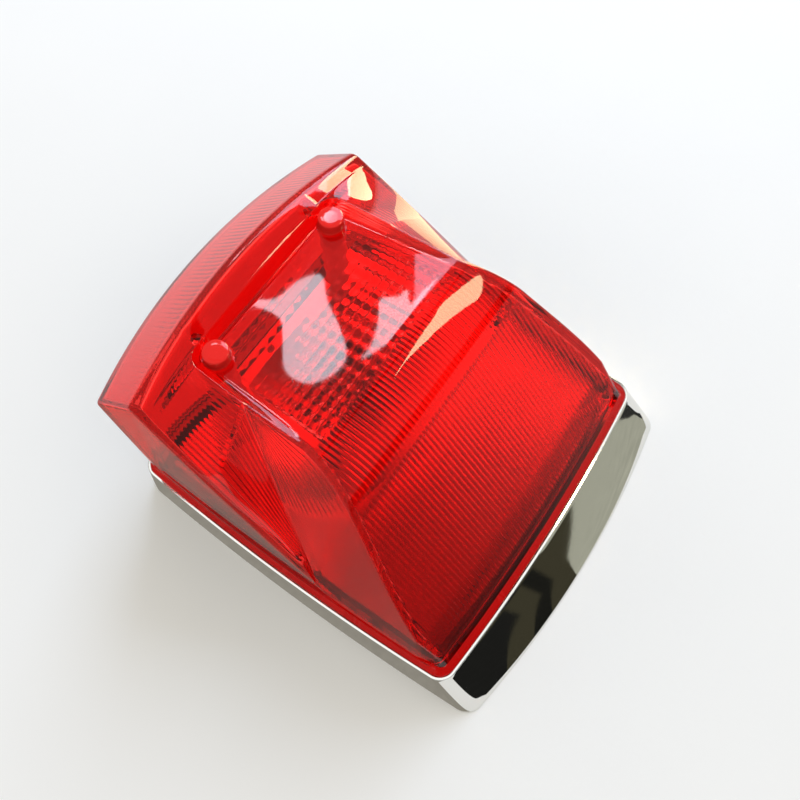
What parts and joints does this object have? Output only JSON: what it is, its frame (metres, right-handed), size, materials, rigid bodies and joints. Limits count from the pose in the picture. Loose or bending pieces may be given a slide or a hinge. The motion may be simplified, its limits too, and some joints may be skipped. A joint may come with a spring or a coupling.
{
  "type": "motorcycle tail light",
  "caption": "Motorcycle tail light: red ribbed wedge-shaped lens on a chrome plinth, with bayonet bulb and socket inside.",
  "frame": {"origin": "midway between the two mounting bolts, on the mounting face", "axes": "+Z out of the mounting face towards the lens, +Y towards the tall nose end, +X to the right seen with the nose away"},
  "size_m": [0.1234, 0.1504, 0.0769],
  "materials": {
    "red_lens": "clear red acrylic, polished outside, ribbed inside",
    "rubber": "matt black",
    "chrome": "bright plated",
    "zinc": "zinc plated sheet",
    "steel": "plain bright steel",
    "reflector": "vacuum metallised",
    "nickel": "nickel plated",
    "phenolic": "brown phenolic",
    "brass": "plain brass",
    "solder": "solder",
    "clear_glass": "clear",
    "tungsten": "drawn wire"
  },
  "bodies": {
    "lamp": {"lens": "red_lens", "lens_gasket": "rubber", "chrome_housing": "chrome", "base_plate": "zinc", "base_gasket": "rubber", "rivet_nuts": "steel", "lens_screws": "steel", "lens_screw_washers": "steel", "reflector": "reflector", "reflector_screws": "steel", "bulb_socket": "nickel", "socket_rivets": "steel", "contact_spring": "steel", "cable_grommet": "rubber", "earth_tab": "zinc", "earth_rivet": "steel"},
    "contacts": {"contact_carrier": "phenolic", "contact_buttons": "brass"},
    "bulb": {"bulb_cap": "brass", "bulb_pins": "brass", "bulb_contacts": "solder", "bulb_glass": "clear_glass", "bulb_stem": "clear_glass", "lead_wires": "steel", "filaments": "tungsten"}
  },
  "joints": [
    {"name": "contact_press", "type": "slide", "parent": "lamp", "child": "contacts", "axis": [0, 0, 1], "range_m": [-0.002, 0], "stiffness_N_per_m": 1200, "deforming": ["contact_spring"]},
    {"name": "bulb_twist", "type": "hinge", "parent": "lamp", "child": "bulb", "pos_m": [0, 0.043, 0.02], "axis": [0, 0, 1], "range_deg": [0, 20]}
  ]
}
